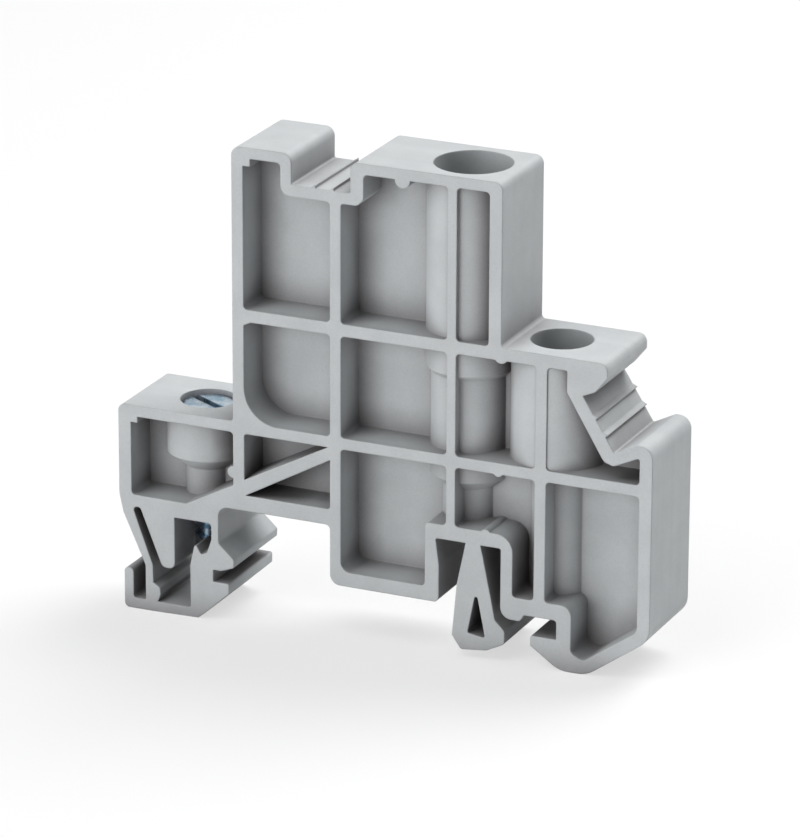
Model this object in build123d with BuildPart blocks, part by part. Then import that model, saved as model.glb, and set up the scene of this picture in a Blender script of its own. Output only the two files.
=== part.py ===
import os

from build123d import *

os.makedirs("parts", exist_ok=True)

# X runs across the rail, Y along it and Z up. Zero is the middle of the seat on the rail's flanges.

# Rail the clamp grips: 35 mm wide, flanges of 1 mm sheet, 25 mm clear inside
rail_edge = 17.5
rail_inside = 12.5
flange = 1.0

# Moulding
thickness = 9.5
face = thickness / 2
web = 1.5
pocket_depth = (thickness - web) / 2
pocket_corner = 0.4

# Heights of the outline
top = 42.25
marker_floor = 39.25
ledge_top = 26.5
shoulder = 19.1
block_top = 15.3
recess_top = 6.95
underside = 6.5
seat_foot = 0.6
seat_right = 0.08
hook_bottom = -4.15
foot_bottom = -5.25

# Positions of the outline across the rail
block_left = -27.5
foot_left = -27.06
horn_left = -15.45
marker_left = -9.35
marker_right = -3.35
horn_rib = -5.43
recess_left = 5.7
recess_right = 11.96
tower_right = 11.8
lip_right = 22.3
right = 26.85

# Ribs and walls between the pockets
cap = 1.05
rib = 1.1
side_wall = 1.25
high_rib_top = ledge_top
high_rib_foot = 25.3
mid_rib_top = block_top
mid_rib_foot = mid_rib_top - rib
fine_rib = 0.9
seat_wall = 1.4
block_floor = 6.3

# Axes of the upright bosses
bore_x = 6.85
ledge_x = 15.83
screw_x = -20.3

# Bosses and their bores
tall_boss = 4.29
tall_boss_foot = 22.9
mid_boss = 3.81
mid_boss_foot = 12.35
ring_taper = 0.5
foot_taper = 1.0
neck = 2.65
wide_boss = 4.65
bore = 3.7
bore_step = 24.0
deep_bore = 3.2
deep_bore_foot = 13.4
ledge_bore = 2.95
ledge_bore_foot = 16.4

# Self-cutting screw, 3 x 12 with a slotted cheese head, and the boss that holds it
thread = 1.5
screw_length = 12.0
head = 2.6
head_height = 2.0
slot_width = 0.8
slot_depth = 0.9
slot_angle = -29
head_top = 14.6
screw_boss = 4.0
screw_boss_foot = 10.3
screw_boss_taper = 1.4
screw_neck = 2.2
head_recess = 2.72
head_seat = 11.4
running = 0.05

# Spring foot: a hook leg and a thin arm joined by a plate at the bottom
hinge_left = -17.8
hinge_right = -17.07
leg_left = -20.04
hook_tip = -16.0
foot_plate = 1.05
window_top = 4.65
release_bar = 0.95
ear_gap = 3.4
ramp_foot = (-20.6, -2.8)
ramp_top = (-18.4, 0.6)
gap_top = window_top - 1.2

# Barbed ridges of the two marker grooves, as distances along the floor from its horn or ledge end
ridge_starts = (1.95, 3.8)
ridge_width = 0.5
ridge_slope = 0.44
ridge_height = 0.28
groove_top = (19.9, 23.1)
groove_foot = (23.1, 18.0)

# Outline, clockwise from the top of the horn, each corner with its radius
outline = [
    (horn_left, top, 0.9),
    (marker_left, top, 0.9),
    (marker_left, marker_floor, 0.2),
    (marker_right, marker_floor, 0.2),
    (marker_right, top, 0.8),
    (tower_right, top, 0.8),
    (tower_right, ledge_top, 0.4),
    (lip_right, ledge_top, 0.8),
    (lip_right, ledge_top - 1.4, 0.3),
    (21.1, 23.6, 0.3),
    (*groove_top, 0),
    (*groove_foot, 0.2),
    (25.3, shoulder, 0.4),
    (right, shoulder, 1.2),
    (right, 0.28, 2.0),
    (20.65, hook_bottom, 3.0),
    (17.9, hook_bottom, 3.0),
    (15.0, -2.15, 0.2),
    (15.0, -flange - 0.15, 0.2),
    (17.6, -flange - 0.15, 0.1),
    (17.6, 0.75, 0.3),
    (14.35, 0.75, 0.15),
    (13.95, seat_right, 0.3),
    (recess_right, seat_right, 1.1),
    (recess_right, recess_top, 0.2),
    (5.35, recess_top, 0.2),
    (recess_left, 4.3, 0.5),
    (recess_left, seat_foot, 0.5),
    (horn_rib, seat_foot, 1.0),
    (horn_rib, underside, 0.5),
    (hinge_right, underside, 1.0),
    (hinge_right, 2.76, 0.4),
    (horn_left, 1.3, 0.2),
    (-15.5, 0.5, 0.2),
    (-16.8, 0.02, 0.2),
    (-rail_edge - 0.15, 0.02, 0.1),
    (-rail_edge - 0.15, -flange - 0.2, 0.1),
    (hook_tip, -flange - 0.2, 0.2),
    (hook_tip, -2.2, 0.2),
    (-18.6, -4.6, 0.3),
    (-19.4, foot_bottom, 0.3),
    (foot_left, foot_bottom, 0.5),
    (foot_left, -1.2, 0.4),
    (foot_left + release_bar, -1.2, 0.4),
    (foot_left + release_bar, foot_bottom + foot_plate, 0.3),
    (-24.8, foot_bottom + foot_plate, 0.2),
    (-24.8, -0.65, 1.0),
    (-27.1, 4.4, 1.5),
    (block_left, 6.2, 1.5),
    (block_left, block_top, 0.7),
    (horn_left, block_top, 0.3),
]

# Window of the spring foot, between the arm, the wedge that stops it and the hook leg
window = [
    (-26.15, 5.1, 0.35),
    (-24.05, -0.55, 0.8),
    (-24.0, -2.35, 0),
    (-23.3, -2.75, 0.35),
    (-23.25, -3.5, 0.35),
    (-23.55, foot_bottom + foot_plate, 0),
    (leg_left, foot_bottom + foot_plate, 0.2),
    (leg_left, 0.12, 0.4),
    (-19.55, 2.4, 0.15),
    (-18.9, 1.35, 0.15),
    (-18.3, 1.6, 0.3),
    (hinge_left, 3.0, 0.5),
    (hinge_left, window_top, 0.4),
    (-21.7, window_top, 0.1),
    (-21.7, -0.6, 0.6),
    (-23.0, -0.6, 0.6),
    (-25.3, 5.1, 0.35),
]

# Pressing tongue that springs against the rail's inner side, with its lightening hole
tongue = [
    (8.42, recess_top + 0.5, 0),
    (9.9, recess_top + 0.5, 0),
    (9.9, recess_top, 0.3),
    (10.63, 3.57, 0.5),
    (11.41, -0.23, 0.4),
    (rail_inside - 0.1, -1.22, 0.4),
    (rail_inside - 0.1, -2.5, 0.4),
    (10.6, -3.4, 0.5),
    (8.0, -3.7, 0.4),
    (7.08, -2.4, 0.4),
    (7.55, 2.75, 0.4),
    (8.42, recess_top, 0.3),
]
tongue_hole = [
    (9.51, 2.5, 0.18),
    (8.65, -1.94, 0.2),
    (10.46, -2.22, 0.2),
]

# Pockets between the ribs, the same on both faces
left_wall = horn_left + side_wall - 0.1
right_wall = right - side_wall
cap_foot = top - cap
rib_left = (horn_rib, horn_rib + rib)
rib_mid = (bore_x - fine_rib / 2, bore_x + fine_rib / 2)
rib_right = (ledge_x - rib / 2, ledge_x + rib / 2)
marker_wall = marker_floor - 1.12
pad = 0.75
horn_pocket = [
    (left_wall, high_rib_top, pocket_corner),
    (left_wall, cap_foot - pad, 0),
    (left_wall + pad, cap_foot - pad, 0),
    (left_wall + pad, cap_foot, 0),
    (marker_left - rib, cap_foot, pocket_corner),
    (marker_left - rib, marker_wall, 1.0),
    (rib_left[0], marker_wall, pocket_corner),
    (rib_left[0], high_rib_top, pocket_corner),
]
lower_horn_pocket = [
    (left_wall, high_rib_foot - pad / 2, 0),
    (left_wall + pad, high_rib_foot, 0),
    (rib_left[0], high_rib_foot, pocket_corner),
    (rib_left[0], mid_rib_top, pocket_corner),
    (left_wall, mid_rib_top, 3.5),
]
tower_pocket = [
    (rib_left[1], high_rib_top, pocket_corner),
    (rib_left[1], marker_wall, 0.3),
    (-2.69, marker_wall, 0.5),
    (-2.05, marker_wall + 0.6, 0.5),
    (-2.05, cap_foot, pocket_corner),
    (rib_mid[0], cap_foot, pocket_corner),
    (rib_mid[0], high_rib_top, pocket_corner),
]
tower_side_pocket = [
    (rib_mid[1], high_rib_top, pocket_corner),
    (rib_mid[1], cap_foot, pocket_corner),
    (tower_right - side_wall, cap_foot, pocket_corner),
    (tower_right - side_wall, high_rib_top, pocket_corner),
]
centre_pocket = [
    (rib_left[1], mid_rib_top, pocket_corner),
    (rib_left[1], high_rib_foot, pocket_corner),
    (rib_mid[0], high_rib_foot, pocket_corner),
    (rib_mid[0], mid_rib_top, pocket_corner),
]
boss_pocket = [
    (rib_mid[1], mid_rib_top, pocket_corner),
    (rib_mid[1], high_rib_foot, pocket_corner),
    (rib_right[0], high_rib_foot, pocket_corner),
    (rib_right[0], mid_rib_top, pocket_corner),
]
ledge_pocket = [
    (rib_right[1], mid_rib_top, pocket_corner),
    (rib_right[1], high_rib_foot, pocket_corner),
    (18.36, high_rib_foot, 0.2),
    (18.36, 23.2, 0.4),
    (22.04, 17.1, 0.8),
    (23.0, 16.75, 0.5),
    (right_wall, 17.95, 0.2),
    (right_wall, mid_rib_top, pocket_corner),
]
foot_pocket = [
    (rib_left[1], seat_foot + seat_wall, 1.0),
    (rib_left[1], mid_rib_foot, pocket_corner),
    (rib_mid[0], mid_rib_foot, pocket_corner),
    (rib_mid[0], recess_top + seat_wall, pocket_corner),
    (recess_left - seat_wall, recess_top + seat_wall, pocket_corner),
    (recess_left - seat_wall, seat_foot + seat_wall, pocket_corner),
]
neck_pocket = [
    (rib_mid[1], mid_rib_foot, pocket_corner),
    (rib_right[0], mid_rib_foot, pocket_corner),
    (rib_right[0], 2.33, pocket_corner),
    (recess_right + 1.17, 2.33, pocket_corner),
    (recess_right + 1.17, recess_top + seat_wall, 1.7),
    (rib_mid[1], recess_top + seat_wall, pocket_corner),
]
hook_pocket = [
    (rib_right[1], mid_rib_foot, pocket_corner),
    (right_wall, mid_rib_foot, pocket_corner),
    (right_wall, 0.93, 0.9),
    (20.3, -2.86, 0.8),
    (19.05, -2.2, 0.6),
    (19.05, 2.33, 1.0),
    (rib_right[1], 2.33, pocket_corner),
]
screw_pocket = [
    (block_left + side_wall + 0.05, mid_rib_foot - 0.6, 0),
    (block_left + side_wall + 0.75, mid_rib_foot - 0.6, 0),
    (block_left + side_wall + 0.75, mid_rib_foot, 0),
    (horn_left, mid_rib_foot, pocket_corner),
    (horn_left, 8.9, 0.2),
    (-20.43, block_floor - 0.05, 0.3),
    (block_left + side_wall + 0.05, block_floor, pocket_corner),
]
upper_brace_pocket = [
    (left_wall, mid_rib_foot, 0.3),
    (rib_left[0] - 0.2, mid_rib_foot, 0),
    (left_wall, 9.6, 0),
]
lower_brace_pocket = [
    (left_wall + 0.1, underside + 1.55, 0),
    (rib_left[0], 12.95, 0),
    (rib_left[0], underside + 1.55, 0.3),
]
pockets = [
    horn_pocket,
    lower_horn_pocket,
    tower_pocket,
    tower_side_pocket,
    centre_pocket,
    boss_pocket,
    ledge_pocket,
    foot_pocket,
    neck_pocket,
    hook_pocket,
    screw_pocket,
    upper_brace_pocket,
    lower_brace_pocket,
]

# Round pads where the ejector pins push, as position and radius
ejector_pads = [
    (1.85, cap_foot - 0.05, 0.75),
    (11.8, high_rib_foot + 0.4, 0.7),
    (11.6, mid_rib_foot + 0.25, 0.5),
    (10.4, recess_top + seat_wall - 0.25, 0.5),
    (horn_left, 10.2, 0.6),
]

# Upright cylinders stand on their point or hang from it
standing = (Align.CENTER, Align.CENTER, Align.MIN)
hanging = (Align.CENTER, Align.CENTER, Align.MAX)

# Cores that form the pockets, cut back where the upright bosses and the pads stand
with BuildPart() as cores:
    with BuildSketch(Plane.XZ.offset(web / 2)):
        for pocket in pockets:
            with BuildLine():
                corners = [(x, z) for x, z, radius in pocket]
                FilletPolyline(*corners, radius=[radius for x, z, radius in pocket], close=True)
            make_face()
    extrude(amount=pocket_depth + 0.5)
    mirror(about=Plane.XZ)
    with Locations((bore_x, 0, tall_boss_foot)):
        Cylinder(tall_boss, top - tall_boss_foot, align=standing, mode=Mode.SUBTRACT)
        Cone(mid_boss, tall_boss, ring_taper, align=hanging, mode=Mode.SUBTRACT)
    with Locations((bore_x, 0, mid_boss_foot)):
        Cylinder(mid_boss, tall_boss_foot - mid_boss_foot, align=standing, mode=Mode.SUBTRACT)
        Cone(neck, mid_boss, foot_taper, align=hanging, mode=Mode.SUBTRACT)
    with Locations((bore_x, 0, recess_top)):
        Cylinder(neck, mid_boss_foot - recess_top, align=standing, mode=Mode.SUBTRACT)
    with Locations((ledge_x, 0, mid_rib_top)):
        Cylinder(wide_boss, ledge_top - mid_rib_top, align=standing, mode=Mode.SUBTRACT)
    with Locations((ledge_x, 0, 0)):
        Cylinder(neck, mid_rib_top, align=standing, mode=Mode.SUBTRACT)
    with Locations((screw_x, 0, screw_boss_foot)):
        Cylinder(screw_boss, block_top - screw_boss_foot, align=standing, mode=Mode.SUBTRACT)
        Cone(screw_neck, screw_boss, screw_boss_taper, align=hanging, mode=Mode.SUBTRACT)
    with Locations((screw_x, 0, window_top)):
        Cylinder(screw_neck, screw_boss_foot - window_top, align=standing, mode=Mode.SUBTRACT)
    for x, z, radius in ejector_pads:
        with Locations(Location((x, 0, z), (90, 0, 0))):
            Cylinder(radius, thickness + 1, mode=Mode.SUBTRACT)

# Housing, moulded in one piece with its spring foot and tongue
with BuildPart() as housing:
    with BuildSketch(Plane.XZ.offset(face)):
        with BuildLine():
            corners = [(x, z) for x, z, radius in outline]
            FilletPolyline(*corners, radius=[radius for x, z, radius in outline], close=True)
        make_face()
        with BuildLine():
            corners = [(x, z) for x, z, radius in tongue]
            FilletPolyline(*corners, radius=[radius for x, z, radius in tongue], close=True)
        make_face()
        with BuildLine():
            corners = [(x, z) for x, z, radius in tongue_hole]
            FilletPolyline(*corners, radius=[radius for x, z, radius in tongue_hole], close=True)
        make_face(mode=Mode.SUBTRACT)
        with BuildLine():
            corners = [(x, z) for x, z, radius in window]
            FilletPolyline(*corners, radius=[radius for x, z, radius in window], close=True)
        make_face(mode=Mode.SUBTRACT)
    extrude(amount=-thickness)
    add(cores.part, mode=Mode.SUBTRACT)

    # Bores of the two sockets
    with Locations((bore_x, 0, top)):
        Cylinder(bore, top - bore_step, align=hanging, mode=Mode.SUBTRACT)
    with Locations((bore_x, 0, bore_step)):
        Cylinder(deep_bore, bore_step - deep_bore_foot, align=hanging, mode=Mode.SUBTRACT)
    with Locations((ledge_x, 0, ledge_top)):
        Cylinder(ledge_bore, ledge_top - ledge_bore_foot, align=hanging, mode=Mode.SUBTRACT)

    # Recess for the screw head and the hole its thread runs in
    with Locations((screw_x, 0, block_top)):
        Cylinder(head_recess, block_top - head_seat, align=hanging, mode=Mode.SUBTRACT)
    with Locations((screw_x, 0, head_seat)):
        Cylinder(thread + running, head_seat + 0.6, align=hanging, mode=Mode.SUBTRACT)

    # Ramp between the ears of the hook leg, where the screw end presses
    with BuildSketch(Plane.XZ.offset(ear_gap / 2)):
        with BuildLine():
            Polyline(ramp_foot, ramp_top, (ramp_top[0], gap_top), (ramp_foot[0], gap_top), close=True)
        make_face()
    extrude(amount=-ear_gap, mode=Mode.SUBTRACT)

    # Ridges across the floors of the two marker grooves, sloped on the side the strip slides in from
    floors = (((marker_left, marker_floor), (marker_right, marker_floor)), (groove_top, groove_foot))
    with BuildSketch(Plane.XZ.offset(face)):
        for floor_start, floor_end in floors:
            along = (Vector(*floor_end) - Vector(*floor_start)).normalized()
            out = along.rotate(Axis.Z, 90)
            for start in ridge_starts:
                near = Vector(*floor_start) + along * start
                far = near + along * ridge_width
                crest = near + along * ridge_slope + out * ridge_height
                with BuildLine():
                    Polyline(near, crest, far + out * ridge_height, far, close=True)
                make_face()
    extrude(amount=-thickness)

# Screw, resting with its head sunk a little in the recess
with BuildPart() as clamping_screw:
    with Locations((screw_x, 0, head_top)):
        Cylinder(head, head_height, align=hanging)
    fillet(clamping_screw.edges().group_by(Axis.Z)[-1], radius=0.2)
    with Locations((screw_x, 0, head_top - head_height)):
        Cylinder(thread, screw_length, align=hanging)
    chamfer(clamping_screw.edges().group_by(Axis.Z)[0], length=0.5)
    with Locations(Location((screw_x, 0, head_top), (0, 0, slot_angle))):
        Box(
            2 * head,
            slot_width,
            slot_depth,
            align=hanging,
            mode=Mode.SUBTRACT,
        )

housing.part.label = "housing"
clamping_screw.part.label = "clamping_screw"
export_step(housing.part, "parts/housing.step")
export_step(clamping_screw.part, "parts/clamping_screw.step")
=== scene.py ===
import math

import bmesh
import bpy
from mathutils import Matrix, Vector


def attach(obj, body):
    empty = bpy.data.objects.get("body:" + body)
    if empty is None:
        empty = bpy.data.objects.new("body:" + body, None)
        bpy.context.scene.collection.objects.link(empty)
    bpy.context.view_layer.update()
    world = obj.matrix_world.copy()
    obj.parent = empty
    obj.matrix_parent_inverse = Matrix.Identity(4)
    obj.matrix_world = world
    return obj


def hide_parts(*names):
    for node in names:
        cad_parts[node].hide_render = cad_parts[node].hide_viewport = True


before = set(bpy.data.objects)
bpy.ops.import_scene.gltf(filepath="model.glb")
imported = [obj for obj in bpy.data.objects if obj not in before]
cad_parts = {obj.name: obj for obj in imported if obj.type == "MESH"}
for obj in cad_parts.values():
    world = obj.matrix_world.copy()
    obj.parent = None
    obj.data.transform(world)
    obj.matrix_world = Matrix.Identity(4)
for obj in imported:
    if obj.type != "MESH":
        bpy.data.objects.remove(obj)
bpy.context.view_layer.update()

mm = 0.001
white = (1.0, 1.0, 1.0)
print("frame loaded:", sorted(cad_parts))


def newMaterial(name):
    material = bpy.data.materials.new(name)
    material.use_nodes = True
    tree = material.node_tree
    return material, tree.nodes, tree.links, tree.nodes["Principled BSDF"]


def addNode(nodes, kind, settings=None, inputs=None):
    node = nodes.new(kind)
    for key, value in (settings or {}).items():
        setattr(node, key, value)
    for key, value in (inputs or {}).items():
        node.inputs[key].default_value = value
    return node


def objectCoords(nodes, links, scale=(1, 1, 1), location=(0, 0, 0)):
    coords = addNode(nodes, "ShaderNodeTexCoord")
    mapping = addNode(nodes, "ShaderNodeMapping", inputs={"Scale": scale, "Location": location})
    links.new(coords.outputs["Object"], mapping.inputs["Vector"])
    return mapping.outputs["Vector"]


def addNoise(nodes, links, coords, inputs):
    noise = addNode(nodes, "ShaderNodeTexNoise", inputs=inputs)
    links.new(coords, noise.inputs["Vector"])
    return noise.outputs["Fac"]


def colourRamp(nodes, links, factor, stops):
    ramp = addNode(nodes, "ShaderNodeValToRGB")
    elements = ramp.color_ramp.elements
    while len(elements) < len(stops):
        elements.new(0.5)
    for element, (position, colour) in zip(elements, stops):
        element.position = position
        element.color = (*colour, 1)
    links.new(factor, ramp.inputs["Fac"])
    return ramp.outputs["Color"]


def multiplied(nodes, links, first, second):
    mix = addNode(nodes, "ShaderNodeMix", {"data_type": "RGBA", "blend_type": "MULTIPLY"}, {"Factor": 1.0})
    links.new(first, mix.inputs["A"])
    links.new(second, mix.inputs["B"])
    return mix.outputs["Result"]


def varyRoughness(nodes, links, shader, factor, span):
    rough = addNode(nodes, "ShaderNodeMapRange", inputs={"To Min": span[0], "To Max": span[1]})
    links.new(factor, rough.inputs["Value"])
    links.new(rough.outputs["Result"], shader.inputs["Roughness"])


def addBump(nodes, links, height, depth, strength=1.0, under=None):
    bump = addNode(nodes, "ShaderNodeBump", inputs={"Strength": strength, "Distance": depth})
    links.new(height, bump.inputs["Height"])
    if under:
        links.new(under, bump.inputs["Normal"])
    return bump.outputs["Normal"]


def pieceFrom(shape, name):
    mesh = bpy.data.meshes.new(name)
    shape.to_mesh(mesh)
    shape.free()
    piece = bpy.data.objects.new(name, mesh)
    bpy.context.collection.objects.link(piece)
    return piece


def assignMaterial(piece, material):
    piece.data.materials.clear()
    piece.data.materials.append(material)


def applyModifiers(piece):
    graph = bpy.context.evaluated_depsgraph_get()
    result = bpy.data.meshes.new_from_object(piece.evaluated_get(graph), depsgraph=graph)
    piece.modifiers.clear()
    piece.data = result


# Moulding: grey polyamide with a spark-eroded surface, and painted shade darkening its hollows, gaps and
# inside edges
moulding = {
    "dark": (0.475, 0.498, 0.508),
    "light": (0.515, 0.538, 0.547),
    "clouds": {"Scale": 260.0, "Detail": 3.0, "Roughness": 0.55},  # soft clouds in the grey, scale per metre
    "cloudSpan": (0.35, 0.65),
    "grain": {"Scale": 7500.0, "Detail": 2.0, "Roughness": 0.6},   # eroded grain of about 0.13 mm
    "grainSpan": (0.3, 0.62),
    "grainTone": (0.93, 0.93, 0.93),
    "grainDepth": 0.006 * mm,
    "draw": {"Scale": 900.0, "Detail": 2.0},  # faint lines along the mould's pull on the outer sides
    "drawStretch": (0.02, 1.0, 0.02),
    "drawSpan": (0.35, 0.65),
    "drawTone": (0.965, 0.965, 0.965),
    "drawDepth": 0.004 * mm,
    "roughness": (0.5, 0.62),
    "specular": 0.42,
    "edgeRadius": 0.22 * mm,
    "edgeSamples": 8,
    "paintedShadeReach": 3.0 * mm,  # how far from a wall the painted shade in its hollows reaches
    "paintedShadeSamples": 6,
    "paintedShadeStops": [         # painted shade: how open the place is, and the darkened tone painted there
        (0.0, (0.15, 0.12, 0.12)),   # deepest painted shade, warm-tinted, inside the windows, gaps and holes
        (0.25, (0.4, 0.365, 0.37)),  # painted shade where a pocket's faces meet
        (0.7, (0.74, 0.72, 0.72)),   # lighter painted shade low on a pocket's wall
        (0.95, white),
    ],
}


def makeMoulding(values):
    material, nodes, links, shader = newMaterial("greyPolyamide")
    coords = objectCoords(nodes, links)
    along = objectCoords(nodes, links, scale=values["drawStretch"])
    clouds = addNoise(nodes, links, coords, values["clouds"])
    grain = addNoise(nodes, links, coords, values["grain"])
    draw = addNoise(nodes, links, along, values["draw"])
    low, high = values["cloudSpan"]
    tone = colourRamp(nodes, links, clouds, [(low, values["dark"]), (high, values["light"])])
    low, high = values["grainSpan"]
    speck = colourRamp(nodes, links, grain, [(low, values["grainTone"]), (high, white)])
    low, high = values["drawSpan"]
    streak = colourRamp(nodes, links, draw, [(low, values["drawTone"]), (high, white)])
    # painted shade: the base colour is darkened by how closed in the place is, as the ambient-occlusion node
    # measures it
    shadeReach = {"Distance": values["paintedShadeReach"]}
    openness = addNode(nodes, "ShaderNodeAmbientOcclusion", {"samples": values["paintedShadeSamples"]}, shadeReach)
    paintedShade = colourRamp(nodes, links, openness.outputs["AO"], values["paintedShadeStops"])
    colour = multiplied(nodes, links, tone, speck)
    colour = multiplied(nodes, links, colour, streak)
    colour = multiplied(nodes, links, colour, paintedShade)
    links.new(colour, shader.inputs["Base Color"])
    varyRoughness(nodes, links, shader, clouds, values["roughness"])
    radius = {"Radius": values["edgeRadius"]}
    soft = addNode(nodes, "ShaderNodeBevel", {"samples": values["edgeSamples"]}, radius)
    drawn = addBump(nodes, links, draw, values["drawDepth"], under=soft.outputs["Normal"])
    eroded = addBump(nodes, links, grain, values["grainDepth"], under=drawn)
    links.new(eroded, shader.inputs["Normal"])
    shader.inputs["Specular IOR Level"].default_value = values["specular"]
    return material


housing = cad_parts["housing"]
assignMaterial(housing, makeMoulding(moulding))
print("moulding finished")

# Slotted screw with a turned head and a rolled thread
screw = {
    "axis": (-20.3 * mm, 0.0),
    "top": 14.9 * mm,
    "headRadius": 2.58 * mm,
    "headHeight": 2.0 * mm,
    "headEdge": 0.35 * mm,     # radius round the head's top
    "edgeArcs": 6,
    "rimMargin": 0.2 * mm,     # the flat top ends this far inside that radius
    "underChamfer": 0.12 * mm,
    "neckFlare": 0.18 * mm,    # how the core widens under the head
    "neckDrop": 0.2 * mm,
    "slotWidth": 0.8 * mm,
    "slotDepth": 0.95 * mm,
    "slotAngle": -29.0,
    "slotEdge": 0.05 * mm,
    "length": 12.0 * mm,
    "coreRadius": 1.08 * mm,
    "crestRadius": 1.48 * mm,
    "ridgeFoot": 0.5 * mm,
    "pitch": 1.1 * mm,
    "tip": 0.45 * mm,
    "tipTaper": 0.8,
    "runOut": 0.45 * mm,       # bare core between the thread and the head
    "lead": 0.05 * mm,
    "steps": 96,
    "threadSteps": 28,
    "smoothBelow": 32.0,       # degrees
}


def latheProfile(values):
    top, head, edge, core = values["top"], values["headRadius"], values["headEdge"], values["coreRadius"]
    chamfer, arcs, tip = values["underChamfer"], values["edgeArcs"], values["tip"]
    under = top - values["headHeight"]
    end = under - values["length"]
    profile = [(0.0, top), (head - edge - values["rimMargin"], top)]
    for step in range(arcs + 1):
        turn = math.radians(90 - 90 / arcs * step)
        profile.append((head - edge + edge * math.cos(turn), top - edge + edge * math.sin(turn)))
    profile += [(head, under + chamfer), (head - chamfer, under)]
    profile += [(core + values["neckFlare"], under), (core, under - values["neckDrop"])]
    profile += [(core, end + tip), (core - tip * values["tipTaper"], end), (0.0, end)]
    return profile


def lathedPiece(name, profile, steps, axis):
    shape = bmesh.new()
    rings = []
    for radius, height in profile:
        if radius == 0.0:
            rings.append([shape.verts.new((*axis, height))])
            continue
        ring = []
        for step in range(steps):
            turn = 2 * math.pi * step / steps
            spot = (axis[0] + radius * math.cos(turn), axis[1] + radius * math.sin(turn), height)
            ring.append(shape.verts.new(spot))
        rings.append(ring)
    for upper, lower in zip(rings, rings[1:]):
        for step in range(steps):
            after = (step + 1) % steps
            if len(upper) == 1:
                shape.faces.new((upper[0], lower[step], lower[after]))
            elif len(lower) == 1:
                shape.faces.new((upper[after], upper[step], lower[0]))
            else:
                shape.faces.new((upper[after], upper[step], lower[step], lower[after]))
    bmesh.ops.recalc_face_normals(shape, faces=shape.faces)
    return pieceFrom(shape, name)


def cutSlot(piece, values):
    shape = bmesh.new()
    size = Matrix.Diagonal((6 * values["headRadius"], values["slotWidth"], 2 * values["slotDepth"], 1.0))
    turn = Matrix.Rotation(math.radians(values["slotAngle"]), 4, "Z")
    place = Matrix.Translation((*values["axis"], values["top"])) @ turn
    bmesh.ops.create_cube(shape, size=1.0, matrix=place @ size)
    cutter = pieceFrom(shape, "slotCutter")
    cut = piece.modifiers.new("slot", "BOOLEAN")
    cut.operation = "DIFFERENCE"
    cut.solver = "EXACT"
    cut.object = cutter
    soften = piece.modifiers.new("slotEdge", "BEVEL")
    soften.width = values["slotEdge"]
    soften.segments = 2
    soften.limit_method = "ANGLE"
    soften.angle_limit = math.radians(50)
    applyModifiers(piece)
    bpy.data.objects.remove(cutter)


def threadTree():
    # A ridge swept along a helix, with its sizes as inputs
    tree = bpy.data.node_groups.new("rolledThread", "GeometryNodeTree")
    face = tree.interface
    face.new_socket("Geometry", in_out="INPUT", socket_type="NodeSocketGeometry")
    for name in ("Core radius", "Ridge span", "Half foot", "Pitch", "Thread length", "Foot height", "Axis X"):
        face.new_socket(name, in_out="INPUT", socket_type="NodeSocketFloat")
    face.new_socket("Steps per turn", in_out="INPUT", socket_type="NodeSocketInt")
    face.new_socket("Finish", in_out="INPUT", socket_type="NodeSocketMaterial")
    face.new_socket("Geometry", in_out="OUTPUT", socket_type="NodeSocketGeometry")
    nodes, links = tree.nodes, tree.links
    given = nodes.new("NodeGroupInput")
    made = nodes.new("NodeGroupOutput")
    turns = addNode(nodes, "ShaderNodeMath", {"operation": "DIVIDE"})
    links.new(given.outputs["Thread length"], turns.inputs[0])
    links.new(given.outputs["Pitch"], turns.inputs[1])
    helix = addNode(nodes, "GeometryNodeCurveSpiral")
    links.new(given.outputs["Steps per turn"], helix.inputs["Resolution"])
    links.new(turns.outputs[0], helix.inputs["Rotations"])
    links.new(given.outputs["Core radius"], helix.inputs["Start Radius"])
    links.new(given.outputs["Core radius"], helix.inputs["End Radius"])
    links.new(given.outputs["Thread length"], helix.inputs["Height"])
    upright = addNode(nodes, "GeometryNodeSetCurveNormal", {"mode": "Z_UP"})
    links.new(helix.outputs["Curve"], upright.inputs["Curve"])
    ridge = addNode(nodes, "GeometryNodeCurvePrimitiveQuadrilateral", {"mode": "KITE"})
    links.new(given.outputs["Ridge span"], ridge.inputs["Width"])
    links.new(given.outputs["Half foot"], ridge.inputs["Bottom Height"])
    links.new(given.outputs["Half foot"], ridge.inputs["Top Height"])
    sweep = addNode(nodes, "GeometryNodeCurveToMesh", inputs={"Fill Caps": True})
    links.new(upright.outputs["Curve"], sweep.inputs["Curve"])
    links.new(ridge.outputs["Curve"], sweep.inputs["Profile Curve"])
    spot = addNode(nodes, "ShaderNodeCombineXYZ")
    links.new(given.outputs["Axis X"], spot.inputs["X"])
    links.new(given.outputs["Foot height"], spot.inputs["Z"])
    place = addNode(nodes, "GeometryNodeTransform")
    links.new(sweep.outputs["Mesh"], place.inputs["Geometry"])
    links.new(spot.outputs["Vector"], place.inputs["Translation"])
    joined = addNode(nodes, "GeometryNodeJoinGeometry")
    links.new(place.outputs["Geometry"], joined.inputs["Geometry"])
    links.new(given.outputs["Geometry"], joined.inputs["Geometry"])
    real = addNode(nodes, "GeometryNodeRealizeInstances")
    links.new(joined.outputs["Geometry"], real.inputs["Geometry"])
    finish = addNode(nodes, "GeometryNodeSetMaterial")
    links.new(real.outputs["Geometry"], finish.inputs["Geometry"])
    links.new(given.outputs["Finish"], finish.inputs["Material"])
    links.new(finish.outputs["Geometry"], made.inputs["Geometry"])
    return tree


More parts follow.
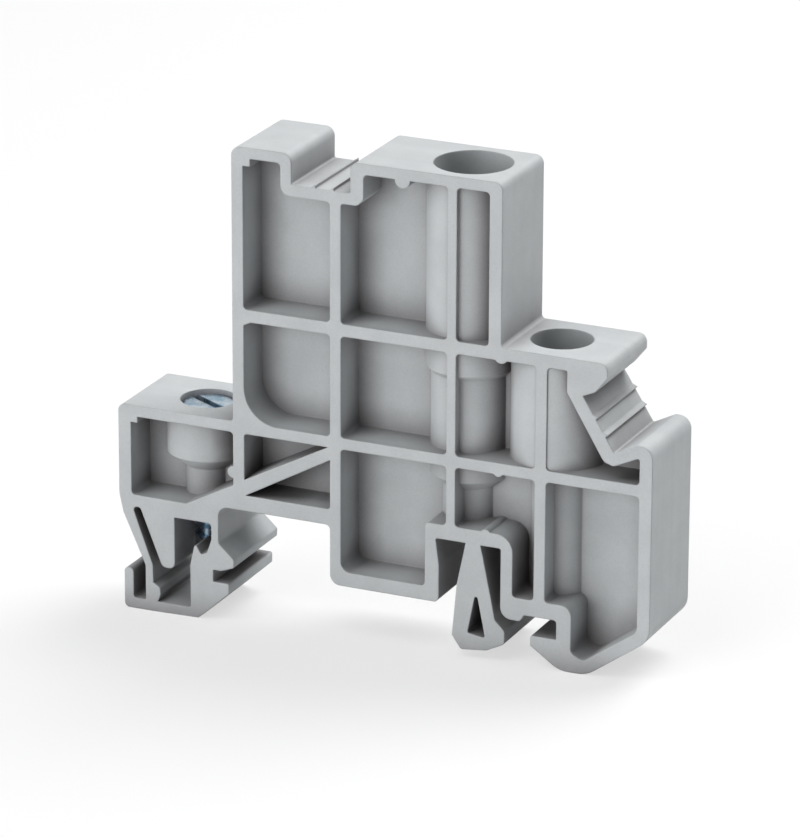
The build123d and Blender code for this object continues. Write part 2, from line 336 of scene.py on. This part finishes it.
def addThread(piece, values, material):
    tree = threadTree()
    modifier = piece.modifiers.new("thread", "NODES")
    modifier.node_group = tree
    foot = values["top"] - values["headHeight"] - values["length"]
    given = {
        "Core radius": values["coreRadius"],
        "Ridge span": 2 * (values["crestRadius"] - values["coreRadius"]),  # its inner half is inside the core
        "Half foot": values["ridgeFoot"] / 2,
        "Pitch": values["pitch"],
        "Thread length": values["length"] - values["tip"] - values["runOut"],
        "Foot height": foot + values["tip"] + values["lead"],
        "Axis X": values["axis"][0],
        "Steps per turn": values["threadSteps"],
        "Finish": material,
    }
    for socket in tree.interface.items_tree:
        if socket.in_out == "INPUT" and socket.name in given:
            modifier[socket.identifier] = given[socket.name]
    applyModifiers(piece)


screwFinish = {
    "bright": (0.61, 0.69, 0.76),
    "blue": (0.31, 0.46, 0.58),
    "clouds": {"Scale": 700.0, "Detail": 3.0},  # the tint of the passivated zinc
    "cloudSpan": (0.36, 0.6),
    "roughness": (0.2, 0.36),
    "rings": {"Scale": 260.0, "Distortion": 1.2, "Detail": 2.0, "Detail Scale": 2.0},  # turning marks
    "ringDepth": 0.004 * mm,
    "ringStrength": 0.6,
}


def makeZinc(values, axis):
    material, nodes, links, shader = newMaterial("blueZinc")
    centred = objectCoords(nodes, links, location=(-axis[0], -axis[1], 0))
    clouds = addNoise(nodes, links, centred, values["clouds"])
    low, high = values["cloudSpan"]
    tint = colourRamp(nodes, links, clouds, [(low, values["blue"]), (high, values["bright"])])
    links.new(tint, shader.inputs["Base Color"])
    varyRoughness(nodes, links, shader, clouds, values["roughness"])
    shape = {"wave_type": "RINGS", "rings_direction": "Z"}
    rings = addNode(nodes, "ShaderNodeTexWave", shape, values["rings"])
    links.new(centred, rings.inputs["Vector"])
    turned = addBump(nodes, links, rings.outputs["Fac"], values["ringDepth"], strength=values["ringStrength"])
    links.new(turned, shader.inputs["Normal"])
    shader.inputs["Metallic"].default_value = 1.0
    return material


zinc = makeZinc(screwFinish, screw["axis"])
screwPiece = lathedPiece("slottedScrew", latheProfile(screw), screw["steps"], screw["axis"])
cutSlot(screwPiece, screw)
assignMaterial(screwPiece, zinc)
addThread(screwPiece, screw, zinc)
assignMaterial(screwPiece, zinc)
screwPiece.data.shade_smooth()
screwPiece.data.set_sharp_from_angle(angle=math.radians(screw["smoothBelow"]))
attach(screwPiece, "screw")
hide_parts("clamping_screw")
print("screw finished:", len(screwPiece.data.polygons), "faces")

# Floor, light and camera
studio = {
    "footLeft": (-24.0 * mm, -5.25 * mm),   # the clamp stands on its left foot and its right hook
    "footRight": (19.3 * mm, -4.15 * mm),
    "floorSize": 3.0,
    "floorColour": (0.88, 0.88, 0.89),
    "floorBounce": (0.78, 0.78, 0.785),     # what the floor throws back at the clamp
    "floorRoughness": 0.8,
    "floorSpecular": 0.1,
    "floorGlow": 0.62,
    "roomTint": (0.97, 0.985, 1.0),
    "ambient": 0.01,
    "mirrored": 0.7,                        # brightness of the room in shiny faces
    "lampCentre": (0.0, 0.0, 18 * mm),
    "lampDistance": 0.6,
    "lampSize": 0.42,
    "lamps": [
        # name, azimuth, elevation, strength on a face turned to it
        ("rear", 180.0, 60.0, 0.2),
        ("rearRight", 150.0, 55.0, 0.94),
        ("front", -15.0, 6.0, 0.53),
        ("left", -48.0, 6.0, 0.25),
        ("high", -30.0, 60.0, 0.36),
    ],
}
camera = {
    "azimuth": 24.35,
    "elevation": 19.8,
    "roll": 0.21,
    "distance": 535.4 * mm,
    "target": (-0.44 * mm, 0.0, 16.24 * mm),
    "lens": 246.7,
    "sensor": 36.0,
    "clipStart": 0.01,
}


def fromAngles(azimuth, elevation):
    turn, lift = math.radians(azimuth), math.radians(elevation)
    return Vector((math.sin(turn) * math.cos(lift), -math.cos(turn) * math.cos(lift), math.sin(lift)))


def blendShaders(nodes, links, factor, first, second, output):
    blend = addNode(nodes, "ShaderNodeMixShader")
    links.new(factor, blend.inputs["Fac"])
    links.new(first, blend.inputs[1])
    links.new(second, blend.inputs[2])
    links.new(blend.outputs["Shader"], nodes[output].inputs["Surface"])


def makeFloor(values):
    left, right = values["footLeft"], values["footRight"]
    lean = -math.atan2(right[1] - left[1], right[0] - left[0])
    place = Matrix.Translation((left[0], 0, left[1])) @ Matrix.Rotation(lean, 4, "Y")
    shape = bmesh.new()
    bmesh.ops.create_grid(shape, x_segments=1, y_segments=1, size=values["floorSize"] / 2, matrix=place)
    floor = pieceFrom(shape, "floor")
    material, nodes, links, shader = newMaterial("paleFloor")
    seen = addNode(nodes, "ShaderNodeLightPath")
    pale = addNode(nodes, "ShaderNodeMix", {"data_type": "RGBA"})
    pale.inputs["A"].default_value = (*values["floorBounce"], 1)
    pale.inputs["B"].default_value = (*values["floorColour"], 1)
    links.new(seen.outputs["Is Camera Ray"], pale.inputs["Factor"])
    links.new(pale.outputs["Result"], shader.inputs["Base Color"])
    shader.inputs["Roughness"].default_value = values["floorRoughness"]
    shader.inputs["Specular IOR Level"].default_value = values["floorSpecular"]
    glow = addNode(nodes, "ShaderNodeEmission", inputs={"Color": (*white, 1), "Strength": 1.0})
    share = addNode(nodes, "ShaderNodeMath", {"operation": "MULTIPLY"}, {1: values["floorGlow"]})
    links.new(seen.outputs["Is Camera Ray"], share.inputs[0])
    plain, lit = shader.outputs["BSDF"], glow.outputs["Emission"]
    blendShaders(nodes, links, share.outputs[0], plain, lit, "Material Output")
    assignMaterial(floor, material)


def makeWorld(values):
    world = bpy.data.worlds.new("studioWorld")
    bpy.context.scene.world = world
    world.use_nodes = True
    nodes, links = world.node_tree.nodes, world.node_tree.links
    dim = nodes["Background"]
    dim.inputs["Color"].default_value = (*values["roomTint"], 1)
    dim.inputs["Strength"].default_value = values["ambient"]
    bright = addNode(nodes, "ShaderNodeBackground", inputs={"Color": (*white, 1), "Strength": 1.0})
    seen = addNode(nodes, "ShaderNodeLightPath")
    shiny = addNode(nodes, "ShaderNodeMath", {"operation": "MULTIPLY_ADD"}, {1: values["mirrored"]})
    links.new(seen.outputs["Is Glossy Ray"], shiny.inputs[0])
    links.new(seen.outputs["Is Camera Ray"], shiny.inputs[2])
    first, second = dim.outputs["Background"], bright.outputs["Background"]
    blendShaders(nodes, links, shiny.outputs[0], first, second, "World Output")


def makeLamps(values):
    distance = values["lampDistance"]
    for name, azimuth, elevation, strength in values["lamps"]:
        lamp = bpy.data.lights.new(name, "AREA")
        lamp.shape = "DISK"
        lamp.size = values["lampSize"]
        lamp.energy = strength * (math.pi * distance) ** 2
        holder = bpy.data.objects.new(name, lamp)
        out = fromAngles(azimuth, elevation)
        holder.location = Vector(values["lampCentre"]) + out * distance
        holder.rotation_mode = "QUATERNION"
        holder.rotation_quaternion = out.to_track_quat("Z", "Y")
        bpy.context.collection.objects.link(holder)


def makeCamera(values):
    lens = bpy.data.cameras.new("camera")
    lens.lens = values["lens"]
    lens.sensor_width = values["sensor"]
    lens.clip_start = values["clipStart"]
    holder = bpy.data.objects.new("camera", lens)
    out = fromAngles(values["azimuth"], values["elevation"])
    aim = out.to_track_quat("Z", "Y").to_matrix().to_4x4()
    roll = Matrix.Rotation(math.radians(values["roll"]), 4, "Z")
    holder.matrix_world = Matrix.Translation(Vector(values["target"]) + out * values["distance"]) @ aim @ roll
    bpy.context.collection.objects.link(holder)
    bpy.context.scene.camera = holder


makeFloor(studio)
makeWorld(studio)
makeLamps(studio)
makeCamera(camera)
bpy.context.scene.view_settings.view_transform = "Standard"
print("studio finished")
